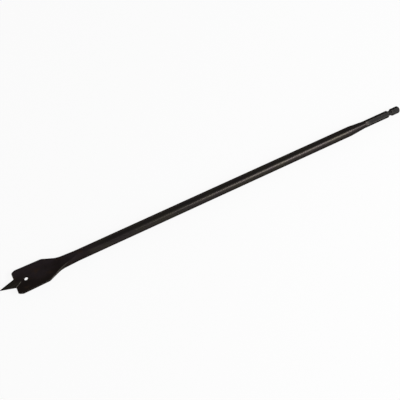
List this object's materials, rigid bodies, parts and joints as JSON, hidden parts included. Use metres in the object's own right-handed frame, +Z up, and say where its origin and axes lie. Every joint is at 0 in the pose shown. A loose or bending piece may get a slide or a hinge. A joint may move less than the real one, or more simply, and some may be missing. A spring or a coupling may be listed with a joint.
{
  "type": "spade drill bit",
  "caption": "Long spade drill bit with a flat, centre-pointed blade, pull hole, round shaft and grooved hexagon shank, for boring holes in wood.",
  "frame": {"origin": "on the resting surface, under the middle of the length and of the width", "axes": "+X along the axis from the point to the shank, +Y across the blade, +Z up, square to the blade's faces"},
  "size_m": [0.4064, 0.0222, 0.0095],
  "materials": {
    "oxide_steel": "black oxide, satin"
  },
  "bodies": {
    "root": {"spade_bit": "oxide_steel"}
  },
  "joints": []
}
